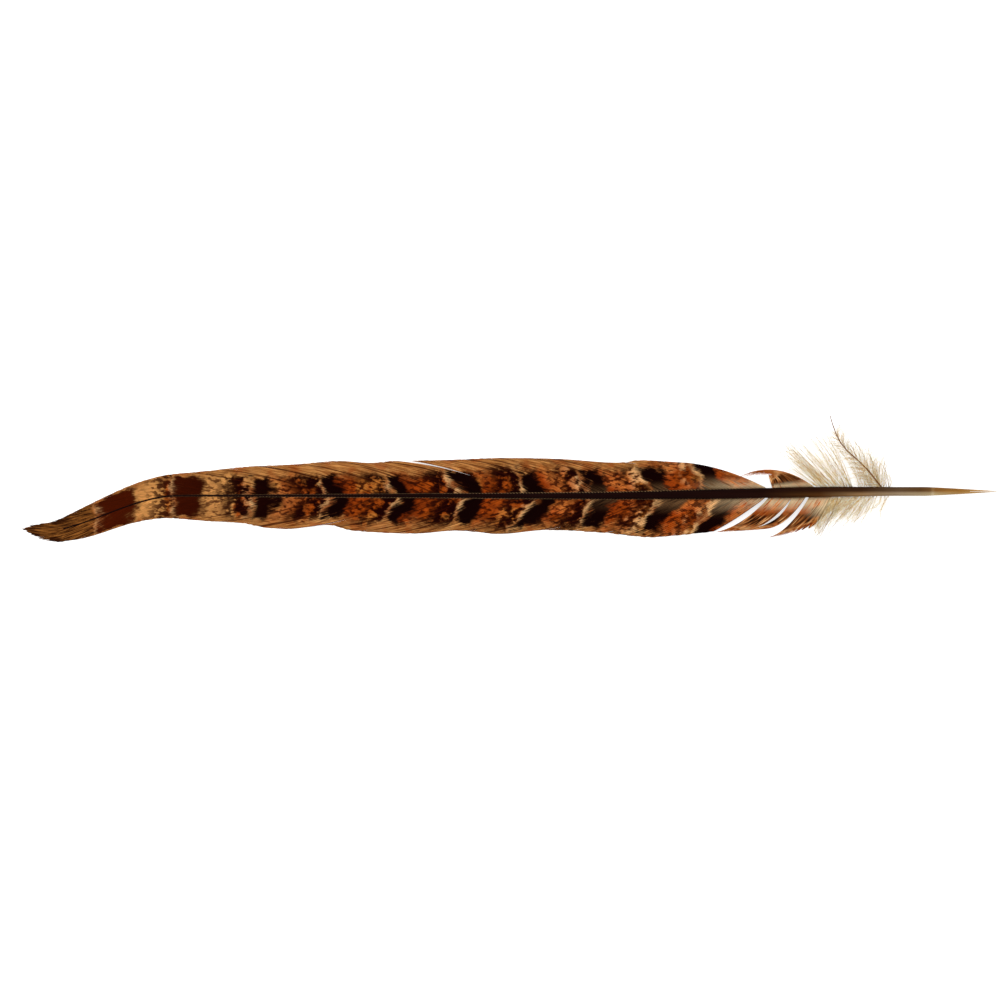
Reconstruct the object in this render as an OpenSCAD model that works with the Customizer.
// Quill pen: a barred tail feather whose hollow barrel is cut to a split nib.
// It lies on a table with the upper side of the feather facing up.
// Frame: origin on the barrel's axis, in the middle of its bare round stretch;
// +X runs along the barrel and out of the nib, +Y to the left vane, +Z up. All lengths are millimetres.
// Places along the feather are given as s, the distance behind the barrel.

/* [Overall] */
// Length from the writing tip to the end of the feather
overall_length = 250; // [200:1:300]

/* [Barrel] */
// Outside diameter of the bare, round barrel
barrel_diameter = 2.3; // [2:0.1:4]
// Length of the bare, round barrel
barrel_length = 8; // [5:0.5:15]
// Thickness of the horny barrel wall
barrel_wall = 0.3; // [0.2:0.05:0.5]
// Number of dried pulp caps left in the barrel
pulp_cap_count = 5; // [3:1:8]
// Thickness of one pulp cap
pulp_cap_thickness = 0.12; // [0.08:0.02:0.2]

/* [Nib] */
// Length of the tapering writing end
nib_length = 18.5; // [14:0.5:26]
// Length of the two tines, which is the length of the slit
tine_length = 7; // [4:0.5:10]
// Width of the slit between the tines
slit_width = 0.06; // [0.04:0.01:0.1]
// Clearance where a tine flexes at its root
tine_root_gap = 0.03; // [0.02:0.01:0.05]
// Width of the writing edge at the tip
writing_edge = 0.24; // [0.2:0.02:0.6]
// Length of the scoop cut away under the nib, from the tip
scoop_length = 15; // [11:0.5:20]

/* [Shaft] */
// Widest part of the shaft, where the vanes begin
shaft_width = 2.65; // [2.4:0.05:4]
// Depth of the shaft as a multiple of its width
shaft_depth_ratio = 1.05; // [0.9:0.05:1.3]
// Thickness of the horny cortex round the pith
cortex_wall = 0.25; // [0.15:0.05:0.4]
// Width of shaft below which it is solid, with no pith
solid_below = 1.1; // [0.8:0.1:1.6]
// Depth of the groove along the underside
groove_depth = 0.25; // [0.1:0.05:0.4]
// Clearance between the pith and the cortex
pith_gap = 0.03; // [0.02:0.01:0.1]
// How high the shaft arches off the table
arch_rise = 2.6; // [1:0.1:5]
// Sideways bow of the long straight run
side_bow = 1.1; // [0:0.1:3]
// Sideways sweep of the hooked end
hook_drop = 9.5; // [0:0.5:16]
// Length of the hooked end
hook_length = 37; // [25:1:60]
// How far the last barbs flick back from the hook
tip_flick = 1; // [0:0.1:2]

/* [Vane] */
// Widest reach of the left vane from the middle of the shaft
left_vane_reach = 9.7; // [7:0.1:14]
// Widest reach of the right vane from the middle of the shaft
right_vane_reach = 10.8; // [7:0.1:15]
// How far the last barbs reach past the end of the shaft
tip_overhang = 10.5; // [6:0.5:16]
// Spacing of the barbs along the shaft
barb_pitch = 2; // [1.6:0.1:4]
// Slit between neighbouring barbs, measured along the shaft
barb_slit = 0.3; // [0.2:0.05:0.6]
// Thickness of a barb at its root
barb_root_thickness = 0.5; // [0.3:0.05:0.8]
// Thickness of a barb at its end
barb_end_thickness = 0.3; // [0.2:0.05:0.5]
// Clearance between barb roots and the side of the shaft
seat_gap = 0.05; // [0.02:0.01:0.2]

/* [Loose locks and down] */
// Radius of the rounded root on which a loose lock swings
root_bead_radius = 0.3; // [0.25:0.05:0.5]
// Clearance between a rounded root and the shaft
bead_gap = 0.1; // [0.05:0.05:0.3]
// Thickness of a strand of down
strand_thickness = 0.22; // [0.15:0.01:0.4]
// Spacing of the strands of down along the shaft
strand_pitch = 0.9; // [0.7:0.1:2]

/* [Hidden] */
$fn = 64;

horn = "#c99a4e";
dark_horn = "#2a1206";
pith_white = "#efe6d2";
barred_brown = "#8a4a1c";
down_cream = "#e6dcc8";

LEFT = 1;
RIGHT = -1;

barrel_r = barrel_diameter / 2;
bore_r = barrel_r - barrel_wall;
barrel_front = barrel_length / 2;
barrel_rear = -barrel_length / 2;
tip_x = barrel_front + nib_length;
tine_x = tip_x - tine_length;
feather_length = overall_length - barrel_length - nib_length;
shaft_length = feather_length - tip_overhang;
hook_start = feather_length - hook_length - 3;
bow_length = 80;
table_z = -barrel_r;
end_sink = 0.8;

// Shape curves: [share of the feather's length, share of the size that the curve scales].
shaft_taper = [
  [0, barrel_diameter / shaft_width], [0.1, 1], [0.2, 0.87], [0.3, 0.64],
  [0.47, 0.4], [0.65, 0.23], [0.8, 0.16], [1, 0.11]
];
left_outline = [
  [0.1, 0.8], [0.23, 0.84], [0.29, 0.93], [0.315, 0.87], [0.38, 0.97], [0.45, 1], [0.51, 0.95],
  [0.56, 0.92], [0.595, 0.87], [0.635, 0.92], [0.688, 0.83], [0.74, 0.77], [0.79, 0.65], [0.84, 0.55],
  [0.885, 0.47], [0.93, 0.37], [0.956, 0.27], [0.98, 0.17], [1, 0.04]
];
right_outline = [
  [0.1, 0.85], [0.19, 0.87], [0.245, 0.96], [0.28, 1], [0.335, 0.88], [0.4, 0.82], [0.45, 0.91],
  [0.5, 0.83], [0.55, 0.9], [0.62, 0.83], [0.648, 0.7], [0.69, 0.79], [0.722, 0.75], [0.745, 0.66],
  [0.79, 0.6], [0.84, 0.51], [0.885, 0.41], [0.93, 0.36], [0.956, 0.29], [0.98, 0.18], [1, 0.04]
];
// How far a barb sweeps along the shaft, in millimetres, by the place of its root.
left_sweep = [
  [0.1, 18], [0.14, 20], [0.27, 25], [0.45, 27], [0.67, 26], [0.86, 21], [0.94, 13], [0.947, 11.8]
];
right_sweep = [
  [0.14, 12.5], [0.17, 16], [0.21, 21], [0.27, 25], [0.45, 27],
  [0.67, 26], [0.86, 21], [0.94, 13], [0.947, 11.8]
];

// Fixed locks: [first root, last root, how far the ends are drawn along the shaft to open a split,
// lift of the ends, bow of the first barb]. The bow grows or shrinks to vane_bow at the last barb.
vane_bow = 0.6;
left_locks = [
  [0.145, 0.205, 0, 0.3, vane_bow], [0.205, 0.435, 0.8, 0, vane_bow], [0.435, 0.605, 3.5, 0.2, vane_bow],
  [0.605, 0.86, 1, 0, vane_bow], [0.86, 0.945, 0.8, 0.1, vane_bow]
];
right_locks = [
  [0.147, 0.29, 0, 0.2, 0.15], [0.29, 0.555, 0.8, 0, vane_bow], [0.555, 0.76, 1.5, 0.2, vane_bow],
  [0.76, 0.86, 1, 0, vane_bow], [0.86, 0.939, 0.8, 0.1, vane_bow]
];
// Loose locks and plumes: [first root, last root, first end, last end, bows of the first and the last barb].
// An end is [distance along the shaft from its root, reach from the middle of the shaft,
// height above the table].
curled_lock_form = [0.09, 0.139, [18.6, 4.2, 3.6], [1.2, 3.4, 3], [3.8, 0.2]];
splayed_lock_1_form = [0.101, 0.143, [9.3, 9.2, 0.6], [12.2, 9.6, 0.9], [1, 0.8]];
splayed_lock_2_form = [0.0725, 0.0966, [4, 8.8, 0.7], [11.4, 11.5, 0.5], [0.6, 0.75]];
down_plume_1_form = [0.046, 0.087, [5.5, 12.5, 5], [8.5, 9.5, 3], [0.15, 0.15]];
down_plume_2_form = [0.004, 0.041, [0.4, 6.5, 3.5], [7, 16, 6], [0.25, 0.25]];
down_skirt_form = [0.004, 0.066, [0.4, 7.5, 1.2], [3.6, 9.6, 0.8], [0.15, 0.15]];

// Numbers and curves
function share(t) = min(1, max(0, t));
function mix(a, b, t) = a + (b - a) * t;
function ease(t) = let (c = share(t)) c * c * (3 - 2 * c);
function station(table, x) = max(concat([0], [for (i = [0:len(table) - 2]) if (x >= table[i][0]) i]));
function slope(table, i) =
  let (a = table[max(i - 1, 0)], b = table[min(i + 1, len(table) - 1)]) (b[1] - a[1]) / (b[0] - a[0]);
// A smooth curve through the stations of a table, level beyond both ends.
function curve(table, x) =
  let (
    i = station(table, x), p = table[i], q = table[i + 1], h = q[0] - p[0], t = share((x - p[0]) / h),
    rise_p = slope(table, i) * h, rise_q = slope(table, i + 1) * h
  )
  p[1] * (2 * t ^ 3 - 3 * t ^ 2 + 1) + rise_p * (t ^ 3 - 2 * t ^ 2 + t)
  + q[1] * (3 * t ^ 2 - 2 * t ^ 3) + rise_q * (t ^ 3 - t ^ 2);

// The shaft's line
function shaft_y(s) =
  tip_flick * ease((s - shaft_length) / tip_overhang) - side_bow * ease(s / bow_length)
  - hook_drop * ease((s - hook_start) / hook_length);
function shaft_z(s) =
  let (t = share(s / shaft_length)) arch_rise * sin(180 * t) ^ 1.5 - end_sink * t ^ 2;
function lean(s) = shaft_y(s + 0.5) - shaft_y(s - 0.5);
function climb(s) = shaft_z(s + 0.5) - shaft_z(s - 0.5);
// A point at s along the shaft, reaching n to the left of it, at height z.
function place(s, n, z) =
  let (m = lean(s), k = 1 / sqrt(1 + m * m)) [barrel_rear - s + n * m * k, shaft_y(s) + n * k, z];
function width_at(s) = shaft_width * curve(shaft_taper, s / feather_length);
function depth_at(s) = width_at(s) * mix(1, shaft_depth_ratio, ease(s / 8));

// The vanes' surface
function outline_at(side, s) =
  side == LEFT ? left_vane_reach * curve(left_outline, s / feather_length)
               : right_vane_reach * curve(right_outline, s / feather_length);
function edge_z() = table_z + barb_end_thickness / 2 + 0.05;
// The surface sinks from the shaft to the table at the vane's edge.
function vane_z(side, s, n) =
  let (t = share(n / max(1, outline_at(side, s)))) mix(shaft_z(s), edge_z(), t ^ 1.8);

// A closed skin over rings of points, with a fan over each end.
module skin(rings) {
  sides = len(rings[0]);
  count = len(rings);
  middles = [for (ring = [rings[0], rings[count - 1]]) [for (c = [0:2]) middle_of(ring, c)]];
  points = concat([for (ring = rings) each ring], middles);
  first_middle = sides * count;
  faces = concat(
    wall_faces(0, count, sides, false),
    [for (k = [0:sides - 1]) [first_middle, (k + 1) % sides, k]],
    [for (k = [0:sides - 1]) let (e = (count - 1) * sides) [first_middle + 1, e + k, e + (k + 1) % sides]]
  );
  polyhedron(points, faces);
}

// A skin with a blind hollow that opens at the first ring.
module hollow_skin(rings, hollow_rings) {
  sides = len(rings[0]);
  count = len(rings);
  inner = len(hollow_rings);
  start = sides * count;
  ends = [for (ring = [rings[count - 1], hollow_rings[inner - 1]]) [for (c = [0:2]) middle_of(ring, c)]];
  points = concat([for (ring = rings) each ring], [for (ring = hollow_rings) each ring], ends);
  end_middle = start + sides * inner;
  last = (count - 1) * sides;
  inner_last = start + (inner - 1) * sides;
  faces = concat(
    wall_faces(0, count, sides, false),
    wall_faces(start, inner, sides, true),
    [for (k = [0:sides - 1]) let (j = (k + 1) % sides) each [[k, start + j, j], [k, start + k, start + j]]],
    [for (k = [0:sides - 1]) [end_middle, last + k, last + (k + 1) % sides]],
    [for (k = [0:sides - 1]) [end_middle + 1, inner_last + (k + 1) % sides, inner_last + k]]
  );
  polyhedron(points, faces);
}

function middle_of(ring, c) = (min([for (p = ring) p[c]]) + max([for (p = ring) p[c]])) / 2;
function wall_faces(start, count, sides, inward) = [
  for (i = [0:count - 2], k = [0:sides - 1])
    let (
      j = (k + 1) % sides, a = start + i * sides + k, b = start + i * sides + j, c = b + sides, d = a + sides
    )
    each (inward ? [[a, c, b], [a, d, c]] : [[a, b, c], [a, c, d]])
];

// One cross-section of the shaft: round at the barrel, squarer along the vanes, grooved underneath.
ring_sides = 16;
function shaft_ring(s, wall) =
  let (
    square = ease(s / 12), power = 2 / mix(2, 3.2, square), w = width_at(s) - 2 * wall,
    h = depth_at(s) - 2 * wall, groove = groove_depth * square * width_at(s) / shaft_width
  )
  [
    for (k = [0:ring_sides - 1])
      let (
        a = 360 * k / ring_sides, c = cos(a), d = sin(a),
        n = w / 2 * sign(c) * abs(c) ^ power, lift = k == ring_sides * 3 / 4 ? groove : 0
      )
      place(s, n, shaft_z(s) + h / 2 * sign(d) * abs(d) ^ power + lift)
  ];
ring_step = 6;
hook_step = 2.5;
shaft_stations = concat(
  [for (s = [0:2:12]) s], [for (s = [12 + ring_step:ring_step:hook_start - ring_step / 2]) s],
  [for (s = [hook_start:hook_step:shaft_length - hook_step / 2]) s], [shaft_length]
);
pith_stations = [for (s = shaft_stations) if (width_at(s) > solid_below) s];

// Barbs: each has two long edges, and an edge is [root s, end s, reach of the end, lift of the end, bow].
function barb_count(from, to, pitch) = max(2, round((to - from) / pitch));
function edge_roots(from, to, pitch, slit) =
  let (count = barb_count(from, to, pitch), step = (to - from) / count)
  [for (i = [0:count - 1], e = [slit / 2, step - slit / 2]) from + i * step + e];
function vane_edges(side, lock) =
  let (from = lock[0] * feather_length + barb_slit / 2, to = lock[1] * feather_length - barb_slit / 2)
  [
    for (root = edge_roots(from, to, barb_pitch, barb_slit))
      let (
        back = (to - root) / (to - from), sweep = side == LEFT ? left_sweep : right_sweep,
        end = root + curve(sweep, root / feather_length) + lock[2] * back
      )
      [root, end, outline_at(side, end), lock[3] * back, mix(vane_bow, lock[4], back)]
  ];
function loose_edges(form, pitch, slit) =
  let (from = form[0] * feather_length, to = form[1] * feather_length)
  [
    for (root = edge_roots(from, to, pitch, slit))
      let (t = (root - from) / (to - from), end = mix(form[2], form[3], t))
      [root, root + end[0], end[1], end[2], mix(form[4][0], form[4][1], t)]
  ];
// A point on a barb's edge, as [s, n, z]; out is the share of the reach that the bowed barb has gained.
function edge_point(side, edge, v, root_n, is_loose) =
  let (
    out = v * (1 + edge[4] * (1 - v)), s = mix(edge[0], edge[1], v), n = mix(root_n, edge[2], out),
    z = is_loose ? mix(shaft_z(s), table_z + edge[3], v ^ 1.4) : vane_z(side, s, n) + edge[3] * v ^ 2
  )
  [s, n, z];

// A comb of barbs on one continuous root band, as one closed skin.
// Rows run out along the barbs; each barb has two columns; slits separate the barbs beyond the band.
// The feather's hooked end and the curled locks need more rows than the straight run.
comb_rows = [0, 0.07, 0.38, 0.7, 1];
curl_rows = [0, 0.07, 0.26, 0.45, 0.64, 0.82, 1];
even_taper = 0.25;
end_taper = 0.5;
strand_start = 0.3;

module comb(side, edges, steps = comb_rows, root_reach = 0, strand = 0) {
  is_loose = root_reach > 0;
  cols = len(edges);
  rows = len(steps);
  root_width = edges[1][0] - edges[0][0];
  points = [
    for (r = [0:rows - 1], c = [0:cols - 1])
      let (
        v = steps[r], start = ease(v / strand_start),
        slim = strand > 0 ? mix(1, strand / root_width, start) : 1 - even_taper * v - end_taper * v ^ 5,
        thick = strand > 0 ? mix(barb_root_thickness, strand, start)
                           : mix(barb_root_thickness, barb_end_thickness, v),
        pair = [
          for (edge = [edges[c], edges[c % 2 == 0 ? c + 1 : c - 1]])
            let (root_n = is_loose ? root_reach : width_at(edge[0]) / 2 + seat_gap)
            edge_point(side, edge, v, root_n, is_loose)
        ],
        p = mix((pair[0] + pair[1]) / 2, pair[0], slim)
      )
      each [place(p[0], side * p[1], p[2] + thick / 2), place(p[0], side * p[1], p[2] - thick / 2)]
  ];
  function top(r, c) = 2 * (r * cols + c);
  function under(r, c) = top(r, c) + 1;
  function quad(a, b, c, d) = [[a, b, c], [a, c, d]];
  function panel(r, c) = concat(
    quad(top(r, c), top(r, c + 1), top(r + 1, c + 1), top(r + 1, c)),
    quad(under(r, c), under(r + 1, c), under(r + 1, c + 1), under(r, c + 1))
  );
  function near_wall(r, c) = quad(top(r, c), top(r + 1, c), under(r + 1, c), under(r, c));
  function far_wall(r, c) = quad(top(r, c), under(r, c), under(r + 1, c), top(r + 1, c));
  function outer_wall(r, c) = quad(top(r, c), top(r, c + 1), under(r, c + 1), under(r, c));
  band = [
    for (c = [0:cols - 2])
      each concat(panel(0, c), quad(top(0, c), under(0, c), under(0, c + 1), top(0, c + 1)))
  ];
  band_ends = concat(near_wall(0, 0), far_wall(0, cols - 1));
  slits = [for (c = [1:2:cols - 2]) each outer_wall(1, c)];
  fingers = [
    for (c = [0:2:cols - 1], r = [1:rows - 2])
      each concat(panel(r, c), near_wall(r, c), far_wall(r, c + 1))
  ];
  caps = [for (c = [0:2:cols - 1]) each outer_wall(rows - 1, c)];
  faces = concat(band, band_ends, slits, fingers, caps);
  polyhedron(points, side == LEFT ? faces : [for (f = faces) [f[2], f[1], f[0]]]);
}

// The rounded root of a loose lock: a round bead along the shaft, on which it swings.
function bead_reach(form) =
  max([for (f = [0, 1]) width_at(form[f] * feather_length) / 2]) + root_bead_radius + bead_gap;
function hinge_point(side, form) =
  let (s = (form[0] + form[1]) / 2 * feather_length) place(s, side * bead_reach(form), shaft_z(s));
function hinge_axis(form) =
  let (s = (form[0] + form[1]) / 2 * feather_length, d = [-1, lean(s), climb(s)]) d / norm(d);

module root_bead(side, form) {
  axis = hinge_axis(form);
  length = (form[1] - form[0]) * feather_length - bead_gap;
  translate(hinge_point(side, form))
    rotate([0, acos(axis[2]), atan2(axis[1], axis[0])])
      cylinder(r = root_bead_radius, h = length, center = true);
}

module loose_lock(side, form, pitch, slit, steps, strand = 0) {
  union() {
    comb(side, loose_edges(form, pitch, slit), steps, bead_reach(form), strand);
    root_bead(side, form);
  }
}

// Nib and barrel
// Radius of the writing end, from the barrel to the tip.
function nib_r(t) = mix(barrel_r, writing_edge / 2, t ^ 1.15);
nib_steps = 12;
module barrel_profile() {
  outer = [for (i = [0:nib_steps]) let (t = i / nib_steps) [nib_r(t), barrel_front + t * nib_length]];
  inner = [for (p = outer) if (p[0] - barrel_wall > 0.05) [p[0] - barrel_wall, p[1]]];
  tip_of_bore = inner[len(inner) - 1][1] + 0.2;
  polygon(concat(
    [[bore_r, barrel_rear], [barrel_r, barrel_rear]], outer, [[0, tip_x], [0, tip_of_bore]],
    [for (i = [len(inner) - 1:-1:0]) inner[i]]
  ));
}

// Side view of what the scoop cut leaves: the whole barrel, then only the upper half of the nib.
module scooped_side() {
  start = tip_x - scoop_length;
  curve_length = 5;
  cut_z = -0.12;
  steps = 10;
  cut = [
    for (i = [0:steps])
      let (t = i / steps) [start + t * curve_length, mix(-barrel_r - 0.1, cut_z, sin(90 * t) ^ 0.8)]
  ];
  polygon(concat(
    [[barrel_rear, -barrel_r - 0.1]], cut,
    [[tip_x, cut_z], [tip_x, barrel_r + 0.1], [barrel_rear, barrel_r + 0.1]]
  ));
}

module horn_shell() {
  intersection() {
    rotate([0, 90, 0]) rotate_extrude() barrel_profile();
    translate([0, barrel_r + 0.5, 0]) rotate([90, 0, 0]) linear_extrude(barrel_diameter + 1) scooped_side();
  }
}

module calamus() {
  color(horn) difference() {
    horn_shell();
    translate([tine_x, -barrel_r, -barrel_r]) cube([tine_length + 1, barrel_diameter, barrel_diameter]);
  }
}

module tine(side) {
  from_y = side == LEFT ? slit_width / 2 : -barrel_r - slit_width / 2;
  color(horn) intersection() {
    horn_shell();
    translate([tine_x + tine_root_gap, from_y, -barrel_r]) cube([tine_length + 1, barrel_r, barrel_diameter]);
  }
}

// Dried pulp: a row of thin cups across the bore, rim to the rear.
module pulp_caps() {
  cap_r = bore_r - 0.03;
  spacing = barrel_length / (pulp_cap_count + 0.5);
  dome = 0.5;
  color(pith_white)
    for (i = [0:pulp_cap_count - 1])
      translate([barrel_rear + (i + 0.6) * spacing, 0, 0]) rotate([0, 90, 0]) rotate_extrude()
        polygon([
          [0, dome], [cap_r * 0.7, dome * 0.65], [cap_r, 0], [cap_r, pulp_cap_thickness],
          [cap_r * 0.7, dome * 0.65 + pulp_cap_thickness], [0, dome + pulp_cap_thickness]
        ]);
}

module rachis() {
  color(dark_horn)
    hollow_skin(
      [for (s = shaft_stations) shaft_ring(s, 0)], [for (s = pith_stations) shaft_ring(s, cortex_wall)]
    );
}

module pith() {
  last = len(pith_stations) - 1;
  color(pith_white)
    skin([
      for (i = [0:last])
        let (s = i == 0 ? pith_gap : i == last ? pith_stations[i] - pith_gap : pith_stations[i])
        shaft_ring(s, cortex_wall + pith_gap)
    ]);
}

module vane_lock(side, lock, steps = comb_rows) {
  color(barred_brown) comb(side, vane_edges(side, lock), steps);
}

module barred_lock(side, form) {
  color(barred_brown) loose_lock(side, form, barb_pitch, barb_slit, curl_rows);
}

module down(side, form) {
  color(down_cream) loose_lock(side, form, strand_pitch, strand_pitch / 3, comb_rows, strand_thickness);
}

calamus();
pulp_caps();
tine(LEFT);  // left_tine
tine(RIGHT);  // right_tine
rachis();
pith();
vane_lock(LEFT, left_locks[0]);  // left_vane_1
vane_lock(LEFT, left_locks[1]);  // left_vane_2
vane_lock(LEFT, left_locks[2]);  // left_vane_3
vane_lock(LEFT, left_locks[3]);  // left_vane_4
vane_lock(LEFT, left_locks[4], curl_rows);  // left_vane_tip
vane_lock(RIGHT, right_locks[0]);  // right_vane_1
vane_lock(RIGHT, right_locks[1]);  // right_vane_2
vane_lock(RIGHT, right_locks[2]);  // right_vane_3
vane_lock(RIGHT, right_locks[3]);  // right_vane_4
vane_lock(RIGHT, right_locks[4], curl_rows);  // right_vane_tip
barred_lock(LEFT, curled_lock_form);  // curled_lock
barred_lock(RIGHT, splayed_lock_1_form);  // splayed_lock_1
barred_lock(RIGHT, splayed_lock_2_form);  // splayed_lock_2
down(LEFT, down_plume_1_form);  // down_plume_1
down(LEFT, down_plume_2_form);  // down_plume_2
down(RIGHT, down_skirt_form);  // down_skirt
